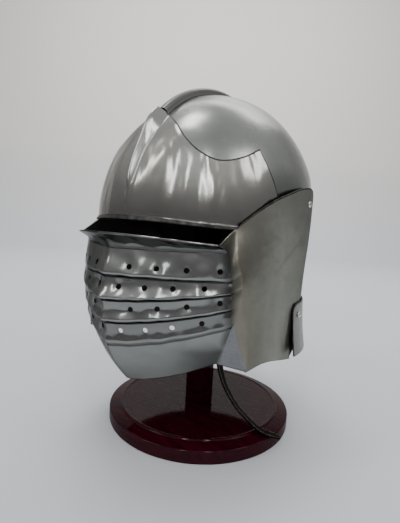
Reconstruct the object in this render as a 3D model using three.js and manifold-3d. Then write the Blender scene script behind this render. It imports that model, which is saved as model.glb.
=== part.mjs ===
// A steel tournament helmet with a pivoted face plate, on a turned wooden stand.
// Millimetres, +Z up. The face looks along -Y and the wearer's left is +X.
// The origin is the centre of the stand's underside.
import * as THREE from 'three';
import { mergeVertices } from 'three/addons/utils/BufferGeometryUtils.js';
import Module from 'manifold-3d';

const wasm = await Module();
wasm.setup();

// Driving dimensions
const SHEET = 1.6;
const GAP = 0.3;
const DEGREE = Math.PI / 180;

// The skull is half an ellipsoid standing on its widest level. middleY is where it is widest.
const SKULL = { middleY: 15.5, halfWidth: 106.7, front: 138, back: 106.5, level: 216.5, rise: 132.3 };
// Behind the temples the bowl tucks in under the face plate, then flares again under the neck plate.
const TUCK = [
  { z: 90.5, halfWidth: 104.6, back: 99.2 },
  { z: 98, halfWidth: 103.5, back: 97.7 },
  { z: 111, halfWidth: 101.6, back: 95.9 },
  { z: 130, halfWidth: 100, back: 94.3 },
  { z: 137.5, halfWidth: 99, back: 93.8 },
  { z: 148, halfWidth: 94.5, back: 92.5 },
  { z: 174, halfWidth: 94.6, back: 94 },
  { z: 203, halfWidth: 96.2, back: 97 },
  { z: 222, halfWidth: 97.8, back: 99 },
  { z: 240, halfWidth: 99.4, back: 100.2 },
  { z: 258, halfWidth: 101.3, back: 101.1 },
  { z: 300, halfWidth: 105, back: 103.4 },
];
const TUCK_BLEND = 6;
const TUCK_FROM = 50 * DEGREE;
const TUCK_FULL = 78 * DEGREE;
// Lower edge of the skull in the side view: brow, ear, back of the cheek, tab behind the neck rivet.
const SKULL_EDGE = [
  { y: -160, z: 222 },
  { y: -60, z: 217 },
  { y: -20, z: 206 },
  { y: 14, z: 203 },
  { y: 31, z: 196 },
  { y: 34, z: 186 },
  { y: 34, z: 142 },
  { y: 31, z: 137.4 },
  { y: 17.8, z: 136.6 },
  { y: 17.8, z: 40 },
];

const COMB = {
  halfWidth: 4.6,
  frontHeight: 7,
  backHeight: 9.2,
  root: 0.8,
  frontY: -79.5,
  backZ: 268,
  taper: 0.22,
};

// Upper edge of the brow plate: fin, valley over the forehead and cusp at the temple.
const BROW_EDGE = [
  { azimuth: 0, z: 310.5 },
  { azimuth: 7, z: 309 },
  { azimuth: 15.5, z: 300.3 },
  { azimuth: 23.6, z: 286.4 },
  { azimuth: 31.2, z: 275.7 },
  { azimuth: 40, z: 269.6 },
  { azimuth: 50.4, z: 273.8 },
  { azimuth: 58.6, z: 281.8 },
];
const BROW = {
  lowFront: 219.3,
  lowSide: 215.2,
  end: 72,
  endZ: 226,
  lift: 1.9,
  sideLift: 1.3,
  rim: 1.8,
  rimHeight: 3.4,
};
// Folded fin on the middle of the brow plate: its height and half the width of its foot.
const FIN = [
  { z: 226, height: 0, foot: 2.6 },
  { z: 242, height: 1.2, foot: 3 },
  { z: 250, height: 2.8, foot: 3.6 },
  { z: 261, height: 4, foot: 4.2 },
  { z: 283, height: 5.7, foot: 6.4 },
  { z: 293, height: 8.2, foot: 8.8 },
  { z: 302, height: 9.4, foot: 9.2 },
  { z: 310.5, height: 8, foot: 9.4 },
];

// Rows of the face plate from the lip down: place on the middle keel, then on the mask's side end.
const MASK = [
  { row: 'lip', keelZ: 207.2, keelY: -152.4, endZ: 201.9, endX: 82, endY: -102.9 },
  { row: 'under_lip', keelZ: 201, keelY: -142.5, endZ: 199.6, endX: 82.2, endY: -96 },
  { row: 'gutter', keelZ: 196.3, keelY: -138.6, endZ: 197.2, endX: 83, endY: -92.5 },
  { row: 'band1', keelZ: 189, keelY: -141, endZ: 190, endX: 84.8, endY: -91.5 },
  { row: 'band1_low', keelZ: 181.4, keelY: -144.4, endZ: 181.5, endX: 86, endY: -91.2 },
  { row: 'band1_crest', keelZ: 175, keelY: -146.8, endZ: 175, endX: 86.5, endY: -91 },
  { row: 'groove1', keelZ: 172, keelY: -143, endZ: 172.4, endX: 86, endY: -88.5 },
  { row: 'band2', keelZ: 164.5, keelY: -145, endZ: 168.4, endX: 86.3, endY: -90 },
  { row: 'band2_crest', keelZ: 155.5, keelY: -150.8, endZ: 163.6, endX: 86.8, endY: -90.5 },
  { row: 'groove2', keelZ: 152.4, keelY: -146, endZ: 161.8, endX: 86, endY: -88 },
  { row: 'band3', keelZ: 145.5, keelY: -144.6, endZ: 157, endX: 86.3, endY: -89.5 },
  { row: 'band3_crest', keelZ: 136, keelY: -147, endZ: 150.6, endX: 86.8, endY: -89.5 },
  { row: 'groove3', keelZ: 133, keelY: -142.6, endZ: 148.6, endX: 86, endY: -87 },
  { row: 'band4', keelZ: 126.5, keelY: -142, endZ: 143.4, endX: 86.4, endY: -88 },
  { row: 'band4_crest', keelZ: 116.5, keelY: -141.4, endZ: 136.8, endX: 87, endY: -87 },
  { row: 'groove4', keelZ: 113.8, keelY: -139, endZ: 134.8, endX: 86.6, endY: -85.4 },
  { row: 'chin', keelZ: 103, keelY: -134.4, endZ: 125.5, endX: 82.7, endY: -84 },
  { row: 'chin_low', keelZ: 90, keelY: -126.4, endZ: 113, endX: 77.2, endY: -82.4 },
  { row: 'rim', keelZ: 76.4, keelY: -115, endZ: 99.3, endX: 71, endY: -81 },
];
const MASK_PLAN = { straight: 0.67, power: 3.4, lift: 1.6 };
// Fold between the flange beside the mask and the cheek.
const FOLD = [
  { z: 98.3, x: 98.3, y: -77 },
  { z: 117, x: 93, y: -81.6 },
  { z: 135, x: 88.4, y: -84.6 },
  { z: 146, x: 91.6, y: -85.4 },
  { z: 160, x: 94, y: -86.1 },
  { z: 176, x: 94, y: -85.4 },
  { z: 190, x: 90, y: -87.4 },
  { z: 200, x: 86.4, y: -86 },
  { z: 214.6, x: 83.2, y: -82.4 },
];
// Where the cheek's even side begins, its widest half width and its narrowing 100 mm further forward.
const CHEEK = [
  { z: 84, start: -72, halfWidth: 98.2, narrow: 0 },
  { z: 98, start: -74, halfWidth: 98.3, narrow: 0 },
  { z: 135, start: -75, halfWidth: 98.8, narrow: 2.4 },
  { z: 150, start: -76, halfWidth: 99.1, narrow: 3.6 },
  { z: 176, start: -77, halfWidth: 100.2, narrow: 5.7 },
  { z: 200, start: -79, halfWidth: 102, narrow: 13 },
  { z: 220, start: -78, halfWidth: 103.3, narrow: 21.9 },
  { z: 256, start: -76, halfWidth: 103.7, narrow: 21.9 },
];
const CHEEK_POWER = 3.3;
const CHEEK_BACK_RADIUS = 92;
const CHEEK_BACK_Y = 42;
const CHEEK_TOP = [
  { y: -82.4, z: 214.6 },
  { y: -77.5, z: 219.6 },
  { y: -72.2, z: 223.9 },
  { y: -63.7, z: 230.1 },
  { y: -54, z: 235.9 },
  { y: -42, z: 241.6 },
  { y: -29, z: 245.8 },
  { y: -4, z: 252.5 },
  { y: 21, z: 255.6 },
  { y: 34, z: 254 },
  { y: 42, z: 249 },
];
const CHEEK_FOOT = [
  { y: -77, z: 98.3 },
  { y: -42.5, z: 96.5 },
  { y: 5.7, z: 86.2 },
  { y: 42, z: 79 },
];
// Notch at the cheek's lower rear, in the side view, that leaves the neck plate's fixing free.
const NOTCH = [
  { y: 15.6, z: 40 },
  { y: 15.6, z: 86.4 },
  { y: 25, z: 90.8 },
  { y: 25, z: 108 },
  { y: 21.5, z: 113 },
  { y: 15.6, z: 116.5 },
  { y: 15.6, z: 134 },
  { y: 17.6, z: 138.4 },
  { y: 21, z: 139.8 },
  { y: 29, z: 140 },
  { y: 35, z: 143.4 },
  { y: 80, z: 144 },
  { y: 80, z: 40 },
];
// Breaths: the row that each line of holes follows, and the holes' distances from the keel.
const BREATHS = [
  { row: 'band1_low', from: 19.3, step: 20.4, count: 4 },
  { row: 'band2', from: 11.6, step: 20, count: 4 },
  { row: 'band3', from: 21, step: 20, count: 4 },
  { row: 'band4', from: 11.5, step: 19.6, count: 4 },
];
const BREATH_RADIUS = 2.25;

const NECK = [
  { z: 90.5, halfWidth: 106.8, back: 101.5 },
  { z: 98, halfWidth: 105.7, back: 100 },
  { z: 111, halfWidth: 103.9, back: 98.2 },
  { z: 130, halfWidth: 102.3, back: 96.7 },
  { z: 141, halfWidth: 101.6, back: 96.2 },
];
const NECK_EDGE = { frontAzimuth: 85.9, corner: 9 };

const PIVOT = { y: 21.5, z: 240.5 };
const NECK_RIVET = { y: 20.6, z: 130 };
const RIVET = { head: 3.3, dome: 2, shank: 1.7, hole: 2.1, tail: 3.4, tailHeight: 1.2 };

const STRAP = { width: 10, thickness: 2, tip: 12 };
// Route of the strap's middle, from inside the skull down and out over the rim of the base.
const STRAP_ROUTE = [
  [84.2, -55.5, 240],
  [84.4, -55.8, 225],
  [84.5, -56.5, 205],
  [79, -58, 180],
  [71, -59.4, 152],
  [63.8, -60, 125],
  [59.6, -58.6, 104],
  [59.5, -55, 86.2],
  [62.6, -49, 66.6],
  [66.5, -43, 53.7],
  [71.5, -36.7, 41.8],
  [77, -31.5, 33.4],
  [84.1, -25, 23.9],
  [91.6, -19.4, 17.4],
  [99.2, -14.6, 14.6],
  [106.2, -11, 12.6],
];
const STRAP_FLAT_START = new THREE.Vector3(0.41, 0.91, 0);
const STRAP_FLAT_END = new THREE.Vector3(-0.47, 0.88, 0);

const BASE = { radius: 100, side: 13, bevel: 14, top: 16.6, edge: 1.4 };
const POST = { radius: 15.2, crown: 345.2 };

// Materials
function material(color, roughness, metalness) {
  return new THREE.MeshStandardMaterial({ color, roughness, metalness });
}
const steel = () => material(0xb4b6b4, 0.3, 1);
const rivetSteel = () => material(0xc2c4c2, 0.28, 1);
const leather = () => material(0x17130f, 0.55, 0);
const lacquer = () => material(0x2c0a0c, 0.22, 0);

// Small helpers
function mix(a, b, t) {
  return a + (b - a) * t;
}

function ease(from, to, value) {
  const t = THREE.MathUtils.clamp((value - from) / (to - from), 0, 1);
  return t * t * (3 - 2 * t);
}

// The smaller of two lengths, rounded over where they are nearly equal.
function lesser(a, b, over) {
  const near = Math.max(over - Math.abs(a - b), 0) / over;
  return Math.min(a, b) - near * near * over * 0.25;
}

// Smooth curve through one column of a table whose key column rises.
function along(rows, key, at, column) {
  const last = rows.length - 1;
  if (at <= rows[0][key]) return rows[0][column];
  if (at >= rows[last][key]) return rows[last][column];
  const i = rows.findIndex((row) => row[key] > at) - 1;
  const slope = (k) => {
    const a = rows[Math.max(k - 1, 0)];
    const b = rows[Math.min(k + 1, last)];
    return (b[column] - a[column]) / (b[key] - a[key]);
  };
  const span = rows[i + 1][key] - rows[i][key];
  const t = (at - rows[i][key]) / span;
  const start = rows[i][column] * (1 + 2 * t) * (1 - t) ** 2 + slope(i) * span * t * (1 - t) ** 2;
  const end = rows[i + 1][column] * t * t * (3 - 2 * t) + slope(i + 1) * span * t * t * (t - 1);
  return start + end;
}

function steps(from, to, count) {
  return Array.from({ length: count + 1 }, (_, i) => mix(from, to, i / count));
}

// Direction that faces out of a grid of points, at one of them.
function gridNormal(grid, i, j, ring) {
  const rows = grid.length;
  const count = grid[0].length;
  const left = ring ? (j + count - 2) % (count - 1) : Math.max(j - 1, 0);
  const right = ring ? (j + 1) % (count - 1) : Math.min(j + 1, count - 1);
  const across = grid[i][right].clone().sub(grid[i][left]);
  const up = grid[Math.min(i + 1, rows - 1)][j].clone().sub(grid[Math.max(i - 1, 0)][j]);
  return across.cross(up).normalize();
}

// Points moved inwards by a sheet's thickness. Columns run to the wearer's left and rows run up or down.
function offsetGrid(grid, distance, ring = false) {
  return grid.map((line, i) => line.map((point, j) => {
    const normal = gridNormal(grid, i, j, ring);
    return point.clone().addScaledVector(normal, distance);
  }));
}

// Closed body between an outer and an inner grid. A ring's last column repeats its first,
// and a pole's last row is one point.
function wall(outer, inner, { ring = false, pole = false } = {}) {
  const rows = outer.length;
  const columns = outer[0].length;
  const points = [...outer.flat(), ...inner.flat()];
  const index = [];
  const at = (side, i, j) => side * rows * columns + i * columns + j;
  const quad = (a, b, c, d) => index.push(a, b, c, a, c, d);
  for (let i = 0; i < rows - 1; i += 1) {
    for (let j = 0; j < columns - 1; j += 1) {
      quad(at(0, i, j), at(0, i, j + 1), at(0, i + 1, j + 1), at(0, i + 1, j));
      quad(at(1, i, j), at(1, i + 1, j), at(1, i + 1, j + 1), at(1, i, j + 1));
    }
    if (!ring) {
      const last = columns - 1;
      quad(at(0, i, 0), at(0, i + 1, 0), at(1, i + 1, 0), at(1, i, 0));
      quad(at(0, i, last), at(1, i, last), at(1, i + 1, last), at(0, i + 1, last));
    }
  }
  for (let j = 0; j < columns - 1; j += 1) {
    quad(at(0, 0, j), at(1, 0, j), at(1, 0, j + 1), at(0, 0, j + 1));
    if (!pole) {
      const last = rows - 1;
      quad(at(0, last, j), at(0, last, j + 1), at(1, last, j + 1), at(1, last, j));
    }
  }
  return facing(points, index);
}

// Geometry with shared points merged, empty faces dropped and its faces turned outwards.
function facing(points, index) {
  const loose = new THREE.BufferGeometry().setFromPoints(points);
  loose.setIndex(index);
  const merged = mergeVertices(loose, 1e-4);
  const place = merged.getAttribute('position');
  const corner = (k) => new THREE.Vector3().fromBufferAttribute(place, k);
  const faces = [];
  let volume = 0;
  for (let k = 0; k < merged.index.count; k += 3) {
    const [a, b, c] = merged.index.array.slice(k, k + 3);
    if (a === b || b === c || c === a) continue;
    faces.push([a, b, c]);
    volume += corner(a).dot(corner(b).cross(corner(c)));
  }
  const turned = volume < 0 ? faces.map(([a, b, c]) => [a, c, b]) : faces;
  merged.setIndex(turned.flat());
  return merged;
}

function solid(geometry) {
  const bare = geometry.clone();
  bare.deleteAttribute('normal');
  bare.deleteAttribute('uv');
  const merged = mergeVertices(bare, 1e-4);
  return new wasm.Manifold(new wasm.Mesh({
    numProp: 3,
    vertProperties: new Float32Array(merged.getAttribute('position').array),
    triVerts: new Uint32Array(merged.index.array),
  }));
}

function geometryOf(body) {
  const made = body.getMesh();
  const geometry = new THREE.BufferGeometry();
  geometry.setAttribute('position', new THREE.BufferAttribute(made.vertProperties, 3));
  geometry.setIndex(new THREE.BufferAttribute(made.triVerts, 1));
  return geometry;
}

// Prism across the whole helmet from an outline drawn in the side view.
function sideCutter(outline) {
  const reach = 130;
  const shape = new THREE.Shape(outline.map(({ y, z }) => new THREE.Vector2(y, z)));
  const prism = new THREE.ExtrudeGeometry(shape, { depth: 2 * reach, bevelEnabled: false });
  const upright = new THREE.Matrix4().makeBasis(
    new THREE.Vector3(0, 1, 0),
    new THREE.Vector3(0, 0, 1),
    new THREE.Vector3(1, 0, 0),
  );
  return solid(prism.applyMatrix4(upright).translate(-reach, 0, 0));
}

// Round drill along a direction, centred on a point.
function drill(point, direction, radius, length, sides) {
  const pin = new THREE.CylinderGeometry(radius, radius, length, sides);
  const turn = new THREE.Quaternion().setFromUnitVectors(new THREE.Vector3(0, 1, 0), direction);
  return solid(pin.applyQuaternion(turn).translate(point.x, point.y, point.z));
}

// Skull
function skullPoint(azimuth, z) {
  const height = Math.max(z - SKULL.level, 0) / SKULL.rise;
  const shrink = Math.sqrt(Math.max(1 - height * height, 0));
  const amount = ease(TUCK_FROM, TUCK_FULL, Math.abs(azimuth));
  const tucked = (column) => {
    const dome = SKULL[column] * shrink;
    const tuck = along(TUCK, 'z', z, column);
    return z > SKULL.level ? lesser(dome, tuck, TUCK_BLEND) : tuck;
  };
  const halfWidth = mix(SKULL.halfWidth * shrink, tucked('halfWidth'), amount);
  const back = tucked('back');
  const reach = Math.cos(azimuth) > 0 ? SKULL.front * shrink : back;
  return new THREE.Vector3(halfWidth * Math.sin(azimuth), SKULL.middleY - reach * Math.cos(azimuth), z);
}

// Closed body through rings of points, with flat ends.
function loft(rings) {
  const sides = rings[0].length;
  const points = rings.flat();
  const index = [];
  const at = (i, j) => i * sides + (j % sides);
  for (let i = 0; i < rings.length - 1; i += 1) {
    for (let j = 0; j < sides; j += 1) {
      index.push(at(i, j), at(i, j + 1), at(i + 1, j + 1), at(i, j), at(i + 1, j + 1), at(i + 1, j));
    }
  }
  const last = rings.length - 1;
  for (let j = 1; j < sides - 1; j += 1) {
    index.push(at(0, 0), at(0, j + 1), at(0, j), at(last, 0), at(last, j), at(last, j + 1));
  }
  return facing(points, index);
}

// Point at a distance off the skull's outer face.
function skullOffset(azimuth, z, distance) {
  const small = 0.01;
  const across = skullPoint(azimuth + small, z).sub(skullPoint(azimuth - small, z));
  const up = skullPoint(azimuth, z + 0.2).sub(skullPoint(azimuth, z - 0.2));
  return skullPoint(azimuth, z).addScaledVector(across.cross(up).normalize(), distance);
}

const SKULL_LEVELS = [
  91.5, 99, 111, 124, 137.5, 143, 148, 165, 185, 205, 220, 238, 258,
  276, 293, 308, 321, 332, 340.5, 346.5,
];

function skullBody() {
  const columns = 32;
  const turns = steps(-Math.PI, Math.PI, columns);
  const crown = SKULL.level + SKULL.rise;
  const bowl = (thickness) => {
    const rows = SKULL_LEVELS.map((z) => turns.map((turn) => skullOffset(turn, z, -thickness)));
    const tip = new THREE.Vector3(0, SKULL.middleY, crown - thickness);
    return [...rows, turns.map(() => tip.clone())];
  };
  return wall(bowl(0), bowl(SHEET), { ring: true, pole: true });
}

function combBody() {
  const stations = 16;
  const section = [
    { side: -1, up: 0 },
    { side: -0.84, up: 0.74 },
    { side: -0.42, up: 1 },
    { side: 0.42, up: 1 },
    { side: 0.84, up: 0.74 },
    { side: 1, up: 0 },
  ];
  const frontTurn = Math.asin((COMB.frontY - SKULL.middleY) / SKULL.front);
  const backTurn = Math.acos((COMB.backZ - SKULL.level) / SKULL.rise);
  const rings = steps(0, 1, stations).map((t) => {
    const turn = mix(frontTurn, backTurn, t);
    const reach = turn < 0 ? SKULL.front : SKULL.back;
    const y = SKULL.middleY + reach * Math.sin(turn);
    const z = SKULL.level + SKULL.rise * Math.cos(turn);
    const out = new THREE.Vector3(0, Math.sin(turn) / reach, Math.cos(turn) / SKULL.rise).normalize();
    const full = mix(COMB.frontHeight, COMB.backHeight, ease(0.2, 0.7, t));
    const height = full * ease(0, COMB.taper, 1 - t) + COMB.root;
    return section.map(({ side, up }) => new THREE.Vector3(side * COMB.halfWidth, y, z)
      .addScaledVector(out, up * height - COMB.root));
  });
  return loft(rings);
}

// Brow plate
const BROW_TURNS = [
  0, 1.6, 3.4, 5.4, 7.6, 11, 15.5, 19.5, 23.6, 27.5, 31.2, 35.5, 40, 45, 50.4, 54.5, 58.6, 62, 66.5, 72,
];
const BROW_HEIGHTS = [0, 0.02, 0.05, 0.19, 0.33, 0.47, 0.61, 0.75, 0.88, 1];

function browTop(degrees) {
  const cusp = BROW_EDGE[BROW_EDGE.length - 1];
  if (degrees <= cusp.azimuth) return along(BROW_EDGE, 'azimuth', degrees, 'z');
  return mix(cusp.z, BROW.endZ, (degrees - cusp.azimuth) / (BROW.end - cusp.azimuth));
}

function browPoint(degrees, part) {
  const distance = Math.abs(degrees);
  const low = mix(BROW.lowFront, BROW.lowSide, ease(8, 55, distance));
  const z = mix(low, browTop(distance), part);
  const flare = Math.max(1 - (z - low) / BROW.rimHeight, 0) ** 2 * (1 - ease(44, 58, distance));
  const lift = BROW.lift + BROW.sideLift * ease(46, 60, distance);
  const point = skullOffset(degrees * DEGREE, z, lift + BROW.rim * flare);
  const beside = Math.abs(point.x) / along(FIN, 'z', z, 'foot');
  const fold = along(FIN, 'z', z, 'height') * Math.max(1 - beside, 0) ** 1.15;
  const out = skullOffset(0, z, 1).sub(skullPoint(0, z));
  return point.addScaledVector(out, fold);
}

function browBody() {
  const left = BROW_TURNS.slice(1);
  const turns = [...left.map((turn) => -turn).reverse(), ...BROW_TURNS];
  const outer = BROW_HEIGHTS.map((part) => turns.map((turn) => browPoint(turn, part)));
  return wall(outer, offsetGrid(outer, -SHEET));
}

// Face plate
function maskPoint(row, s) {
  const bend = MASK_PLAN.straight * s + (1 - MASK_PLAN.straight) * s ** MASK_PLAN.power;
  return new THREE.Vector3(
    row.endX * s,
    mix(row.keelY, row.endY, bend),
    mix(row.keelZ, row.endZ, s ** MASK_PLAN.lift),
  );
}

function cheekX(y, z) {
  const widest = along(CHEEK, 'z', z, 'halfWidth');
  const ahead = SKULL.middleY - y;
  if (ahead < 0) return widest - (ahead * ahead) / (2 * CHEEK_BACK_RADIUS);
  return widest - along(CHEEK, 'z', z, 'narrow') * (ahead / 100) ** CHEEK_POWER;
}

function cheekPoint(y, drop) {
  const z = mix(along(CHEEK_TOP, 'y', y, 'z'), along(CHEEK_FOOT, 'y', y, 'z'), drop);
  return new THREE.Vector3(cheekX(y, z), y, z);
}

const MASK_STEPS = 10;
const BEND_STEPS = 2;
const CHEEK_STEPS = [0.14, 0.31, 0.48, 0.65, 0.82, 0.92, 1];

// One row of the face plate's left half, from the keel to the rear edge.
function faceRow(row) {
  const top = MASK[0].endZ;
  const foot = MASK[MASK.length - 1].endZ;
  const drop = (top - row.endZ) / (top - foot);
  const mask = steps(0, 1, MASK_STEPS).map((s) => maskPoint(row, s));
  const foldZ = mix(FOLD[FOLD.length - 1].z, FOLD[0].z, drop);
  const fold = new THREE.Vector3(along(FOLD, 'z', foldZ, 'x'), along(FOLD, 'z', foldZ, 'y'), foldZ);
  const start = cheekPoint(along(CHEEK, 'z', foldZ, 'start'), drop);
  const corner = new THREE.Vector3(cheekX(fold.y, foldZ), fold.y + 1, foldZ);
  const bend = new THREE.QuadraticBezierCurve3(fold, corner, start).getPoints(BEND_STEPS);
  const cheek = CHEEK_STEPS.map((t) => cheekPoint(mix(start.y, CHEEK_BACK_Y, t), drop));
  return [...mask, ...bend, ...cheek];
}

function breathDrills() {
  return BREATHS.flatMap(({ row, from, step, count }) => {
    const line = MASK.find((entry) => entry.row === row);
    return steps(0, count - 1, count - 1).flatMap((k) => {
      const s = (from + step * k) / line.endX;
      const point = maskPoint(line, s);
      const run = maskPoint(line, s + 0.02).sub(maskPoint(line, s - 0.02));
      const out = new THREE.Vector3(-run.y, run.x, 0).negate().normalize();
      return [1, -1].map((side) => drill(
        new THREE.Vector3(side * point.x, point.y, point.z),
        new THREE.Vector3(side * out.x, out.y, 0),
        BREATH_RADIUS,
        14,
        7,
      ));
    });
  });
}

function faceBody() {
  const outer = MASK.map((row) => {
    const left = faceRow(row);
    const right = left.slice(1).map((point) => new THREE.Vector3(-point.x, point.y, point.z));
    return [...right.reverse(), ...left];
  });
  return wall(outer, offsetGrid(outer, SHEET));
}

// Neck plate
function neckPoint(turn, z, inset) {
  const halfWidth = along(NECK, 'z', z, 'halfWidth') - inset;
  const back = along(NECK, 'z', z, 'back') - inset;
  return new THREE.Vector3(halfWidth * Math.sin(turn), SKULL.middleY - back * Math.cos(turn), z);
}

function neckBody() {
  const front = NECK_EDGE.frontAzimuth * DEGREE;
  const bottom = NECK[0].z;
  const top = NECK[NECK.length - 1].z;
  const corner = NECK_EDGE.corner / NECK[0].back;
  const columns = [0, 0.2, 0.5, 1].map((t) => front + corner * t);
  const rest = steps(front + corner, 2 * Math.PI - front - corner, 22).slice(1, -1);
  const far = columns.map((turn) => 2 * Math.PI - turn).reverse();
  const turns = [...columns, ...rest, ...far];
  const edge = (turn) => {
    const inside = Math.min(turn - front, 2 * Math.PI - front - turn) / corner;
    const rounded = 1 - Math.min(inside, 1);
    return top - NECK_EDGE.corner * (1 - Math.sqrt(Math.max(1 - rounded * rounded, 0)));
  };
  const face = (inset) => [0, 0.2, 0.45, 0.72, 1].map((part) => turns.map(
    (turn) => neckPoint(turn, mix(bottom, edge(turn), part), inset),
  ));
  return wall(face(0), face(SHEET));
}

// Rivets lie along X. The head sits outside and a plain washer head inside.
function rivetBody(outside, inside, side, place) {
  const profile = [
    [0, inside - RIVET.tailHeight],
    [RIVET.tail, inside - RIVET.tailHeight],
    [RIVET.tail, inside],
    [RIVET.shank, inside],
    [RIVET.shank, outside],
    [RIVET.head, outside],
    [RIVET.head * 0.82, outside + RIVET.dome * 0.6],
    [RIVET.head * 0.45, outside + RIVET.dome * 0.92],
    [0, outside + RIVET.dome],
  ].map(([radius, height]) => new THREE.Vector2(radius, height));
  const turned = new THREE.LatheGeometry(profile, 12);
  turned.rotateZ(-Math.PI / 2);
  const clean = solid(turned);
  const geometry = geometryOf(clean);
  if (side < 0) geometry.rotateZ(Math.PI);
  return geometry.translate(0, place.y, place.z);
}

// Strap
function strapBody() {
  const points = STRAP_ROUTE.map((place) => new THREE.Vector3(...place));
  const route = new THREE.CatmullRomCurve3(points, false, 'centripetal');
  const stations = 25;
  const length = route.getLength();
  const rings = steps(0, 1, stations).map((t) => {
    const middle = route.getPointAt(t);
    const run = route.getTangentAt(t);
    const flat = STRAP_FLAT_START.clone().lerp(STRAP_FLAT_END, ease(0.2, 0.9, t));
    flat.addScaledVector(run, -flat.dot(run)).normalize();
    const out = run.clone().cross(flat).normalize();
    const left = Math.min((1 - t) * length / STRAP.tip, 1);
    const half = STRAP.width * 0.5 * mix(0.3, 1, Math.sqrt(left));
    const thick = STRAP.thickness * 0.5;
    return [[-1, -1], [1, -1], [1, 1], [-1, 1]].map(([a, b]) => middle.clone()
      .addScaledVector(flat, a * half)
      .addScaledVector(out, b * thick));
  });
  return loft(rings);
}

// Stand, both pieces turned about the Z axis.
function turnedBody(profile, sides) {
  const points = profile.map(([radius, z]) => new THREE.Vector2(radius, z));
  const turned = new THREE.LatheGeometry(points, sides);
  turned.rotateX(Math.PI / 2);
  return geometryOf(solid(turned));
}

function baseBody() {
  const { radius, side, bevel, top, edge } = BASE;
  return turnedBody([
    [0, 0],
    [radius - edge, 0],
    [radius, edge],
    [radius, side - edge],
    [radius - edge, side],
    [radius - bevel + 2, top - 0.8],
    [radius - bevel + 1.4, top + 0.4],
    [radius - bevel - 0.4, top + 0.6],
    [radius - bevel - 1.4, top],
    [0, top],
  ], 36);
}

function postBody() {
  const { radius, crown } = POST;
  return turnedBody([
    [0, BASE.top + GAP],
    [radius, BASE.top + GAP],
    [radius, crown - 3.4],
    [radius - 1.6, crown - 1.6],
    [radius * 0.5, crown - 0.6],
    [0, crown],
  ], 20);
}

// Holes and cuts
const alongX = new THREE.Vector3(1, 0, 0);
const pivotHole = drill(new THREE.Vector3(0, PIVOT.y, PIVOT.z), alongX, RIVET.hole, 260, 12);
const neckHole = drill(new THREE.Vector3(0, NECK_RIVET.y, NECK_RIVET.z), alongX, RIVET.hole, 260, 12);
const skullFront = sideCutter(SKULL_EDGE.concat([{ y: -160, z: 40 }]));

const skull = solid(skullBody())
  .add(solid(combBody()))
  .subtract(skullFront)
  .subtract(pivotHole)
  .subtract(neckHole);
const facePlate = breathDrills().reduce(
  (plate, hole) => plate.subtract(hole),
  solid(faceBody()).subtract(sideCutter(NOTCH)).subtract(pivotHole),
);
const neckPlate = solid(neckBody()).subtract(neckHole);

const pivotSeat = cheekX(PIVOT.y, PIVOT.z) + GAP + 0.2;
const pivotBack = skullPoint(Math.PI / 2, PIVOT.z).x - SHEET - GAP - 1.1;
const neckSeat = neckPoint(Math.PI / 2, NECK_RIVET.z, 0).x + GAP + 0.3;
const neckBack = skullPoint(Math.PI / 2, NECK_RIVET.z).x - SHEET - GAP - 1.3;

const group = new THREE.Group();
group.name = 'tournament_helmet';
function place(name, geometry, look) {
  const flat = geometry.index ? geometry.toNonIndexed() : geometry;
  flat.deleteAttribute('normal');
  flat.deleteAttribute('uv');
  const merged = mergeVertices(flat, 1e-4);
  merged.computeVertexNormals();
  const mesh = new THREE.Mesh(merged, look);
  mesh.name = name;
  group.add(mesh);
}
place('skull', geometryOf(skull), steel());
place('brow_plate', browBody(), steel());
place('face_plate', geometryOf(facePlate), steel());
place('neck_plate', geometryOf(neckPlate), steel());
place('pivot_rivet_left', rivetBody(pivotSeat, pivotBack, 1, PIVOT), rivetSteel());
place('pivot_rivet_right', rivetBody(pivotSeat, pivotBack, -1, PIVOT), rivetSteel());
place('neck_rivet_left', rivetBody(neckSeat, neckBack, 1, NECK_RIVET), rivetSteel());
place('neck_rivet_right', rivetBody(neckSeat, neckBack, -1, NECK_RIVET), rivetSteel());
place('chin_strap', strapBody(), leather());
place('stand_base', baseBody(), lacquer());
place('stand_post', postBody(), lacquer());

export default group;
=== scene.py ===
"""Dresses a steel tournament helmet and its turned stand.

Metres, +Z up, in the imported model's frame: the face looks along -Y, the wearer's left is +X and
the origin is the centre of the stand's underside. Sizes below are in millimetres, scaled once by MM.
"""
import math

import bmesh
import bpy
import numpy as np
from mathutils import Matrix, Vector, kdtree


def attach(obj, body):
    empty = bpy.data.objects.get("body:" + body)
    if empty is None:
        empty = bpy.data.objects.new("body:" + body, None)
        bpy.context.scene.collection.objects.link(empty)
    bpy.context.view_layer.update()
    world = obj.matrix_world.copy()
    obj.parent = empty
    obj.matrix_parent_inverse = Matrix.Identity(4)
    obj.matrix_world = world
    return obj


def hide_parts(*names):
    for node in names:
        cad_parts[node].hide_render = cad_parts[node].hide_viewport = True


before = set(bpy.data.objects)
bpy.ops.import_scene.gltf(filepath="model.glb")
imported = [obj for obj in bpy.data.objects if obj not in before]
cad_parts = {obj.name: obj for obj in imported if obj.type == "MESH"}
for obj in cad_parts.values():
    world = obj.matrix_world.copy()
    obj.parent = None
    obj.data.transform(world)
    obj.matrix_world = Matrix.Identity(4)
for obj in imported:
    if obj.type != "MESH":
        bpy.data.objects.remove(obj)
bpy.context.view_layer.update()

MM = 0.001
MIRROR = np.array((-1, 1, 1))
ROOT = "helmet_and_stand"
FACE = "face"

# Sizes of the plates, in millimetres
SHEET = 1.6
GAP = 0.3

MIDDLE_Y = 15.5
HALF_WIDTH = 106.7
FRONT = 138.0
BACK = 106.5
LEVEL = 216.5
RISE = 132.3
CROWN = LEVEL + RISE
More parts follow.
